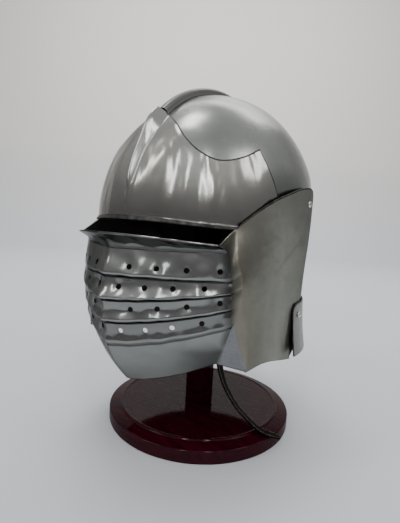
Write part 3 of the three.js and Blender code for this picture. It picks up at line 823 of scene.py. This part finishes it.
def make_face(materials):
    s = np.linspace(0, 1, MASK_COLUMNS)
    mask, grime, lying_in = mask_grid(s)
    mask = mask + grid_normals(mask) * mask_dents(mask, lying_in, s)[..., None]
    end = mask[:, -1]
    drop = np.clip((MASK[0][3] - end[:, 2]) / (MASK[0][3] - MASK[-1][3]), 0, 1)
    fold_z = mix(FOLD[-1, 0], FOLD[0, 0], drop)
    fold = np.stack([along(FOLD, fold_z, 1), along(FOLD, fold_z, 2), fold_z], 1)
    start = cheek_point(along(CHEEK, fold_z, 1), drop)
    corner = np.stack([cheek_x(fold[:, 1], fold_z), fold[:, 1] + 1, fold_z], 1)
    flange = [mix(end, fold, t) for t in steps(FLANGE_COLUMNS)]
    bend = [round_off(fold, corner, start, t) for t in steps(BEND_COLUMNS)]
    cheek = [cheek_point(mix(start[:, 1], CHEEK_BACK_Y, t), drop) for t in steps(CHEEK_COLUMNS)]
    for column in cheek:
        column[:, 0] += jaw_crease(column[:, 1], column[:, 2])
    near = np.stack([*np.moveaxis(mask, 1, 0), *flange, *bend, *cheek], 1)
    far = near.copy()
    far[:, :MASK_COLUMNS] = shallow(mask.copy(), s)
    outer = both_halves(far * MIRROR, near)
    inner = outer + grid_normals(outer) * SHEET

    beside = slice(MASK_COLUMNS, MASK_COLUMNS + FLANGE_COLUMNS)
    # Painted shade: in the mask's hollows and at its ends, a painted shadow beside the bands and in the gap
    # under the neck plate, and a darker far half of the mask.
    shade_share = np.zeros(near.shape[:2])
    shade_share[:, :MASK_COLUMNS] = mask_grime(mask, grime, s)
    shade_share[:, beside] = np.linspace(FLANGE_SHADE, 0, FLANGE_COLUMNS) * ease(128, 139, end[:, 2:])
    shade_share = np.maximum(shade_share, NECK_GAP_SHADE * ease(12.5, 15.5, near[..., 1]) * ease(140, 134, near[..., 2]))
    far_shade_share = shade_share.copy()
    far_darkening = np.maximum(FAR_HALF_SHADE * ease(0.05, 0.3, s), FAR_LIP_SHADE * ease(194, 199, mask[..., 2]))
    far_shade_share[:, :MASK_COLUMNS] = np.maximum(far_shade_share[:, :MASK_COLUMNS], far_darkening)
    zone = np.zeros(shade_share.shape)
    zone[:, beside] = mix(*FLANGE_ZONE, ease(131, 139, end[:, 2:]))
    zone[:, beside.stop:] = [*np.linspace(*BEND_ZONE, BEND_COLUMNS), *np.linspace(*CHEEK_ZONE, CHEEK_COLUMNS)]

    middle = near.shape[1] - 1
    off_mask = np.abs(np.arange(outer.shape[1]) - middle) >= beside.stop
    paint = np.full((outer.shape[0] - 1, outer.shape[1] - 1), OUTSIDE)
    # Painted shadow line: the two top rows beside the mask, along the cheek's top edge, take the dark edge
    # finish.
    paint[:2, off_mask[:-1] & off_mask[1:]] = EDGE
    obj = plate("face_shell", outer, inner, materials, paint=paint.tolist(),
                rim=lambda i, j: EDGE if i or off_mask[j] else OUTSIDE)
    boolean(obj, prism("notch_cut", NOTCH), "DIFFERENCE")
    boolean(obj, breath_cutter(), "DIFFERENCE")
    finish_mesh(obj)
    # Stores the painted shade share and the zone on every point.
    stain(obj, outer.reshape(-1, 3), grime=both_halves(far_shade_share, shade_share).reshape(-1),
          zone=both_halves(zone, zone).reshape(-1))
    return obj


def stain(obj, places, **values):
    """Gives every point of a mesh the values of the nearest of the given places."""
    tree = kdtree.KDTree(len(places))
    for k, place in enumerate(places * MM):
        tree.insert(place, k)
    tree.balance()
    nearest = [tree.find(point.co)[1] for point in obj.data.vertices]
    for name, value in values.items():
        layer = obj.data.attributes.new(name, "FLOAT", "POINT")
        layer.data.foreach_set("value", value[nearest])


# Neck plate

def neck_point(turn, z, inset):
    half = along(NECK, z, 1) - inset
    back = along(NECK, z, 2) - inset
    return np.stack([half * np.sin(turn), MIDDLE_Y - back * np.cos(turn), z], -1)


def make_neck(materials):
    corner = NECK_CORNER / NECK[0, 2]
    ends = NECK_FRONT + corner * (1 - np.cos(np.linspace(0, math.pi / 2, 12)))
    round_back = np.linspace(ends[-1], 2 * math.pi - ends[-1], 150)[1:-1]
    turns = np.concatenate([ends, round_back, 2 * math.pi - ends[::-1]])
    inside = np.minimum(turns - NECK_FRONT, 2 * math.pi - NECK_FRONT - turns) / corner
    cut = 1 - np.minimum(inside, 1)
    top = NECK[-1, 0] - NECK_CORNER * (1 - np.sqrt(np.maximum(1 - cut * cut, 0)))
    part = np.linspace(0, 1, 36)[:, None]
    z = mix(NECK[0, 0], top[None], part)
    turn = np.broadcast_to(turns, z.shape)
    obj = plate("neck_shell", neck_point(turn, z, 0), neck_point(turn, z, SHEET), materials)
    finish_mesh(obj)
    return obj


# Rivets

def make_rivet(name, seat, back, side, place):
    """Rivet along X with a domed head outside and a washer head inside."""
    arc = [(RIVET_HEAD * math.cos(a), seat + RIVET_DOME * math.sin(a))
           for a in np.linspace(0.12, math.pi / 2, 9)[:-1]]
    tail = back - RIVET_TAIL_HEIGHT
    profile = [
        (0, tail), (RIVET_TAIL - RIVET_CHAMFER, tail), (RIVET_TAIL, tail + RIVET_CHAMFER), (RIVET_TAIL, back),
        (RIVET_SHANK, back),
        (RIVET_SHANK, seat), (RIVET_HEAD - 0.1, seat), *arc, (0, seat + RIVET_DOME),
    ]
    obj = lathe(name, profile, 40)
    turn = Matrix.Rotation(side * math.pi / 2, 4, "Y")
    obj.data.transform(Matrix.Translation((0, place[0] * MM, place[1] * MM)) @ turn)
    finish_mesh(obj)
    return obj


# Strap

def strap_line(count):
    """Points at even steps along the strap's route, a centripetal curve through its points."""
    p = STRAP_ROUTE
    p = np.concatenate([[2 * p[0] - p[1]], p, [2 * p[-1] - p[-2]]])
    dense = []
    for a, b, c, d in zip(p, p[1:], p[2:], p[3:]):
        ab, bc, cd = (np.linalg.norm(y - x) ** 0.5 for x, y in ((a, b), (b, c), (c, d)))
        into = ((b - a) / ab - (c - a) / (ab + bc) + (c - b) / bc) * bc
        away = ((c - b) / bc - (d - b) / (bc + cd) + (d - c) / cd) * bc
        for t in np.linspace(0, 1, 40, endpoint=False):
            dense.append(b * (1 + 2 * t) * (1 - t) ** 2 + into * t * (1 - t) ** 2
                         + c * t * t * (3 - 2 * t) + away * t * t * (t - 1))
    dense = np.array(dense + [p[-2]])
    length = np.concatenate([[0], np.cumsum(np.linalg.norm(np.diff(dense, axis=0), axis=1))])
    even = np.linspace(0, length[-1], count)
    return np.stack([np.interp(even, length, dense[:, k]) for k in range(3)], 1), length[-1]


def make_strap(materials):
    count = 170
    line, length = strap_line(count)
    t = np.linspace(0, 1, count)
    run = unit(np.gradient(line, axis=0))
    flat = mix(STRAP_FLAT_START, STRAP_FLAT_END, ease(0.2, 0.9, t)[:, None])
    flat = unit(flat - run * (flat * run).sum(1, keepdims=True))
    out = unit(np.cross(run, flat))
    left = np.clip((1 - t) * length / STRAP_TIP, 0, 1)
    half = STRAP_WIDTH / 2 * mix(STRAP_TIP_WIDTH, 1, np.sqrt(left))
    thick = STRAP_THICKNESS / 2
    section = STRAP_SECTION + [(0, 1)] + [(-a, b) for a, b in STRAP_SECTION[:0:-1]]
    section += [(-a, -b) for a, b in section]
    side, face = flat * half[:, None], out * thick
    rings = np.stack([line + side * a + face * b for a, b in section], 1)
    obj = loft("strap", rings)
    for material in materials:
        obj.data.materials.append(material)
    strip = np.arange(len(obj.data.polygons)) % len(section)
    obj.data.polygons.foreach_set("material_index", np.isin(strip, STITCHED).astype(np.int32))
    finish_mesh(obj, 50)
    return obj, line, length


# Stand

def make_base():
    obj = lathe("base", rounded(BASE_SECTION, BASE_EDGE, 7), 160)
    finish_mesh(obj, 60)
    return obj


def make_post():
    profile = [
        (0, BASE_TOP + GAP), (POST_RADIUS, BASE_TOP + GAP), (POST_RADIUS, POST_CROWN - 3.4),
        (POST_RADIUS * 0.8, POST_CROWN - 1.2), (0, POST_CROWN),
    ]
    obj = lathe("post", rounded(profile, POST_EDGE, 5), 96)
    finish_mesh(obj, 60)
    return obj


# Materials

def set_stops(node, stops):
    """Fills a colour ramp with rows of position and colour."""
    elements = node.color_ramp.elements
    while len(elements) < len(stops):
        elements.new(0.5)
    for element, (position, colour) in zip(elements, stops):
        element.position = position
        element.color = (*colour, 1)


class Nodes:
    """Short hand for building one material's node tree."""

    def __init__(self, name):
        self.material = bpy.data.materials.new(name)
        self.material.use_nodes = True
        self.tree = self.material.node_tree
        self.shader = self.tree.nodes["Principled BSDF"]
        self.place = self.add("ShaderNodeTexCoord").outputs["Object"]

    def add(self, kind, **values):
        node = self.tree.nodes.new(kind)
        for key, value in values.items():
            setattr(node, key, value)
        return node

    def link(self, source, target):
        self.tree.links.new(source, target)

    def set(self, **values):
        for key, value in values.items():
            self.shader.inputs[key.replace("_", " ")].default_value = value

    def feed(self, **sources):
        for key, source in sources.items():
            self.link(source, self.shader.inputs[key.replace("_", " ")])

    def attribute(self, name):
        return self.add("ShaderNodeAttribute", attribute_name=name).outputs["Fac"]

    def noise(self, scale, detail=3, roughness=0.5, stretch=(1, 1, 1), distortion=0):
        mapping = self.add("ShaderNodeMapping")
        mapping.inputs["Scale"].default_value = stretch
        self.link(self.place, mapping.inputs["Vector"])
        noise = self.add("ShaderNodeTexNoise")
        noise.inputs["Scale"].default_value = scale
        noise.inputs["Detail"].default_value = detail
        noise.inputs["Roughness"].default_value = roughness
        noise.inputs["Distortion"].default_value = distortion
        self.link(mapping.outputs["Vector"], noise.inputs["Vector"])
        return noise.outputs["Fac"]

    def ramp(self, factor, stops):
        ramp = self.add("ShaderNodeValToRGB")
        set_stops(ramp, stops)
        self.link(factor, ramp.inputs["Fac"])
        return ramp.outputs["Color"]

    def span(self, factor, low, high, to_low, to_high):
        node = self.add("ShaderNodeMapRange")
        for key, value in zip(("From Min", "From Max", "To Min", "To Max"), (low, high, to_low, to_high)):
            node.inputs[key].default_value = value
        self.link(factor, node.inputs["Value"])
        return node.outputs["Result"]

    def flat(self, colour):
        node = self.add("ShaderNodeRGB")
        node.outputs["Color"].default_value = (*colour, 1)
        return node.outputs["Color"]

    def times(self, colour, factor):
        node = self.add("ShaderNodeVectorMath", operation="SCALE")
        self.link(colour, node.inputs["Vector"])
        self.link(factor, node.inputs["Scale"])
        return node.outputs["Vector"]

    def bump(self, height, distance, strength=1.0, normal=None):
        node = self.add("ShaderNodeBump")
        node.inputs["Distance"].default_value = distance
        node.inputs["Strength"].default_value = strength
        self.link(height, node.inputs["Height"])
        if normal is not None:
            self.link(normal, node.inputs["Normal"])
        return node.outputs["Normal"]


def steel(name, tone, rough, waves, zones=None, grazing=1.0):
    """Polished plate: cloudy tone, polishing streaks and slow dents from the hammer.

    Each wave is a noise scale, its stretch along the three axes and its height in metres. Zones are
    rows of share, colour and roughness where the finish changes along the mesh's zone values, and
    grazing is how bright the plate stays when seen almost edge on.
    """
    n = Nodes(name)
    n.set(Metallic=1.0, Anisotropic=0.2, Specular_Tint=(grazing, grazing, grazing, 1))
    cloud = n.span(n.noise(20, 4, 0.6), 0.3, 0.65, 0.84, 1.0)
    streak = n.span(n.noise(60, 5, 0.65, (1, 1, 5)), 0.3, 0.7, 0.9, 1.12)
    if zones:
        at = n.attribute("zone")
        colour = n.ramp(at, [(share, tone) for share, tone, _ in zones])
        # Darkens the colour by the painted shade share stored on the mesh.
        colour = n.times(colour, n.span(n.attribute("grime"), 0, 1, 1, PAINTED_SHADE_TONE))
        gloss = n.ramp(at, [(share, (rough,) * 3) for share, _, rough in zones])
    else:
        colour = n.flat(tone)
        gloss = n.flat((rough,) * 3)
    normal = None
    for scale, stretch, height in waves:
        normal = n.bump(n.noise(scale, 1.5, 0.4, stretch, 0.3), height, 1.0, normal)
    normal = n.bump(n.noise(420, 2, 0.5, (1, 1, 7)), 0.00002, SCRATCH, normal)
    tangent = n.add("ShaderNodeTangent", direction_type="RADIAL", axis="Z").outputs["Tangent"]
    n.feed(Base_Color=n.times(colour, cloud), Roughness=n.times(gloss, streak))
    n.feed(Normal=normal, Tangent=tangent)
    return n.material


def dull_edge():
    """Dark steel of the plates' cut edges, also laid on narrow strips of the outside beside the seams:
    painted shade of the gaps between the plates.
    """
    n = Nodes("edge_steel")
    n.set(Metallic=1.0, Roughness=0.5)
    n.feed(Base_Color=n.ramp(n.noise(160, 3), [(0.35, (0.03, 0.029, 0.027)), (0.75, (0.1, 0.097, 0.09))]))
    return n.material


def dark_inside():
    """Near-black inner face of the plates: painted shade of the helmet's closed inside."""
    n = Nodes("shaded_inside")
    n.set(Metallic=0.0, Roughness=0.75)
    n.feed(Base_Color=n.ramp(n.noise(60, 4), [(0.3, (0.004, 0.004, 0.004)), (0.8, (0.014, 0.013, 0.012))]),
           Normal=n.bump(n.noise(300, 3), 0.0001, 0.5))
    return n.material


def leather():
    n = Nodes("black_leather")
    n.set(Specular_IOR_Level=0.03)
    grain = n.noise(900, 4, 0.6)
    far_darkening = n.noise(140, 3, 0.55)
    n.feed(Base_Color=n.ramp(far_darkening, [(0.42, (0.004, 0.0033, 0.003)), (0.75, (0.012, 0.009, 0.007))]),
           Roughness=n.span(far_darkening, 0.3, 0.75, 0.55, 0.75), Normal=n.bump(grain, 0.00025, 0.6))
    return n.material


def thread():
    """Pale lines beside the strap's edges."""
    n = Nodes("strap_thread")
    n.set(Roughness=0.7, Specular_IOR_Level=0.1)
    n.feed(Base_Color=n.ramp(n.noise(700, 2), [(0.4, (0.02, 0.016, 0.013)), (0.52, (0.3, 0.25, 0.19))]))
    return n.material


def lacquer():
    n = Nodes("dark_lacquer")
    n.set(Roughness=0.5, Coat_Weight=0.3, Coat_Roughness=0.06, Specular_IOR_Level=0.0)
    grain = n.noise(26, 5, 0.6, (1, 7, 7), 0.6)
    n.feed(Base_Color=n.ramp(grain, [(0.3, (0.014, 0.001, 0.003)), (0.7, (0.042, 0.0024, 0.0085))]),
           Normal=n.bump(n.noise(90, 3, 0.5, (1, 6, 6)), 0.00005, 0.25))
    return n.material


# Stage

def pale_room():
    """Cool white floor and warmer wall."""
    n = Nodes("pale_room")
    n.set(Roughness=0.7, Specular_IOR_Level=0.2)
    split = n.add("ShaderNodeSeparateXYZ")
    n.link(n.place, split.inputs["Vector"])
    rise = n.span(split.outputs["Z"], 0, 0.6, 0, 1)
    n.feed(Base_Color=n.ramp(rise, [(0, (0.68, 0.7, 0.73)), (1, (0.9, 0.875, 0.835))]))
    return n.material


def make_stage():
    """Pale floor that curves up into a pale wall behind the object."""
    depth, width, bend, height = 1.7, 4.0, 0.5, 3.0
    arc = [(depth + bend * math.sin(a), bend * (1 - math.cos(a))) for a in np.linspace(0, math.pi / 2, 17)]
    profile = [(-3.0, 0.0), *arc, (depth + bend, height)]
    points = [VIEW_AHEAD * d + VIEW_RIGHT * w + UP * z for d, z in profile for w in (-width, width)]
    faces = [[2 * k, 2 * k + 1, 2 * k + 3, 2 * k + 2] for k in range(len(profile) - 1)]
    mesh = bpy.data.meshes.new("floor")
    mesh.from_pydata(points, [], faces)
    mesh.shade_smooth()
    obj = bpy.data.objects.new("floor", mesh)
    bpy.context.scene.collection.objects.link(obj)
    mesh.materials.append(pale_room())


def area_light(name, place, aim, size, power, colour=WHITE):
    """A soft panel at a place that shines towards another."""
    light = bpy.data.lights.new(name, "AREA")
    light.shape = "RECTANGLE"
    light.size, light.size_y = size
    light.energy = power
    light.color = colour
    obj = bpy.data.objects.new(name, light)
    obj.location = place
    obj.rotation_euler = (Vector(place) - Vector(aim)).to_track_quat("Z", "Y").to_euler()
    bpy.context.scene.collection.objects.link(obj)


def make_world():
    """Room light that is pale overhead and dimmer towards the horizon."""
    world = bpy.data.worlds.new("room")
    world.use_nodes = True
    tree = world.node_tree
    background = tree.nodes["Background"]
    place = tree.nodes.new("ShaderNodeTexCoord")
    split = tree.nodes.new("ShaderNodeSeparateXYZ")
    ramp = tree.nodes.new("ShaderNodeValToRGB")
    tree.links.new(place.outputs["Generated"], split.inputs["Vector"])
    tree.links.new(split.outputs["Z"], ramp.inputs["Fac"])
    tree.links.new(ramp.outputs["Color"], background.inputs["Color"])
    set_stops(ramp, [(height, (value, value, value * 1.02)) for height, value in ROOM_STOPS])
    bpy.context.scene.world = world


def make_lights():
    for name, azimuth, elevation, distance, size, power, colour in PANELS:
        a, e = math.radians(azimuth), math.radians(elevation)
        away = Vector((math.sin(a) * math.cos(e), -math.cos(a) * math.cos(e), math.sin(e)))
        area_light(name, PANEL_AIM + away * distance, PANEL_AIM, size, power, colour)
    area_light("wall_wash", VIEW_AHEAD * 0.9 + UP * 1.7, VIEW_AHEAD * 2.2 + UP * 0.5, (2, 0.6), WALL_WASH)


def make_camera():
    ahead = VIEW_AHEAD * math.cos(CAMERA_PITCH) - UP * math.sin(CAMERA_PITCH)
    head = VIEW_AHEAD * math.sin(CAMERA_PITCH) + UP * math.cos(CAMERA_PITCH)
    right = VIEW_RIGHT * math.cos(CAMERA_ROLL) + head * math.sin(CAMERA_ROLL)
    top = head * math.cos(CAMERA_ROLL) - VIEW_RIGHT * math.sin(CAMERA_ROLL)
    data = bpy.data.cameras.new("camera")
    data.sensor_width = SENSOR
    data.lens = FOCAL_PIXELS / max(IMAGE_WIDTH, IMAGE_HEIGHT) * SENSOR
    data.clip_start = 0.01
    camera = bpy.data.objects.new("camera", data)
    turn = Matrix((right, top, -ahead)).transposed()
    camera.matrix_world = Matrix.Translation(CAMERA_PLACE) @ turn.to_4x4()
    bpy.context.scene.collection.objects.link(camera)
    bpy.context.scene.camera = camera


# Putting it together

def dress(obj, body, nodes, material=None):
    """Gives a piece its body and a material for the whole of it, and hides the solids that it stands for."""
    if material:
        obj.data.materials.append(material)
    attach(obj, body)
    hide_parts(*nodes)


make_camera()
make_stage()
make_world()
make_lights()

inside = dark_inside()
edge = dull_edge()
skull_steel = steel("skull_steel", (0.3, 0.313, 0.293), 0.25, [(14, EVEN, 0.003)])
# Darker copy of the steel for the neck plate: painted shade for the plate at the helmet's back.
shaded_neck_steel = steel("shaded_neck_steel", (0.235, 0.238, 0.22), 0.34, [(30, EVEN, 0.001)])
comb_steel = steel("comb_steel", (0.17, 0.172, 0.16), 0.36, [(40, EVEN, 0.001)])
brow_steel = steel("brow_steel", None, None, [(50, UPRIGHT, 0.0042), (17, EVEN, 0.002)], zones=BROW_ZONES)
face_steel = steel("face_steel", None, None, [(60, EVEN, 0.001)], zones=FACE_ZONES, grazing=0.3)
rivet_steel = steel("rivet_steel", (0.6, 0.6, 0.59), 0.2, [])
stand_lacquer = lacquer()

strap, strap_path, strap_length = make_strap([leather(), thread()])
dress(strap, ROOT, ["chin_strap"])

dress(make_skull([skull_steel, inside, edge, comb_steel]), ROOT, ["skull"])
dress(make_brow([brow_steel, inside, edge]), ROOT, ["brow_plate"])
dress(make_face([face_steel, inside, edge]), FACE, ["face_plate"])
dress(make_neck([shaded_neck_steel, inside, edge]), ROOT, ["neck_plate"])

pivot_seat = float(cheek_x(*PIVOT)) + GAP + PIVOT_ROOM[0]
pivot_back = float(skull_point(math.pi / 2, PIVOT[1])[0]) - SHEET - GAP - PIVOT_ROOM[1]
neck_seat = float(neck_point(math.pi / 2, NECK_RIVET[1], 0)[0]) + GAP + NECK_RIVET_ROOM[0]
neck_back = float(skull_point(math.pi / 2, NECK_RIVET[1])[0]) - SHEET - GAP - NECK_RIVET_ROOM[1]
for label, side in (("left", 1), ("right", -1)):
    pivot = make_rivet(f"pivot_{label}", pivot_seat, pivot_back, side, PIVOT)
    dress(pivot, ROOT, [f"pivot_rivet_{label}"], rivet_steel)
    neck = make_rivet(f"neck_{label}", neck_seat, neck_back, side, NECK_RIVET)
    dress(neck, ROOT, [f"neck_rivet_{label}"], rivet_steel)

dress(make_base(), ROOT, ["stand_base"], stand_lacquer)
dress(make_post(), ROOT, ["stand_post"], stand_lacquer)
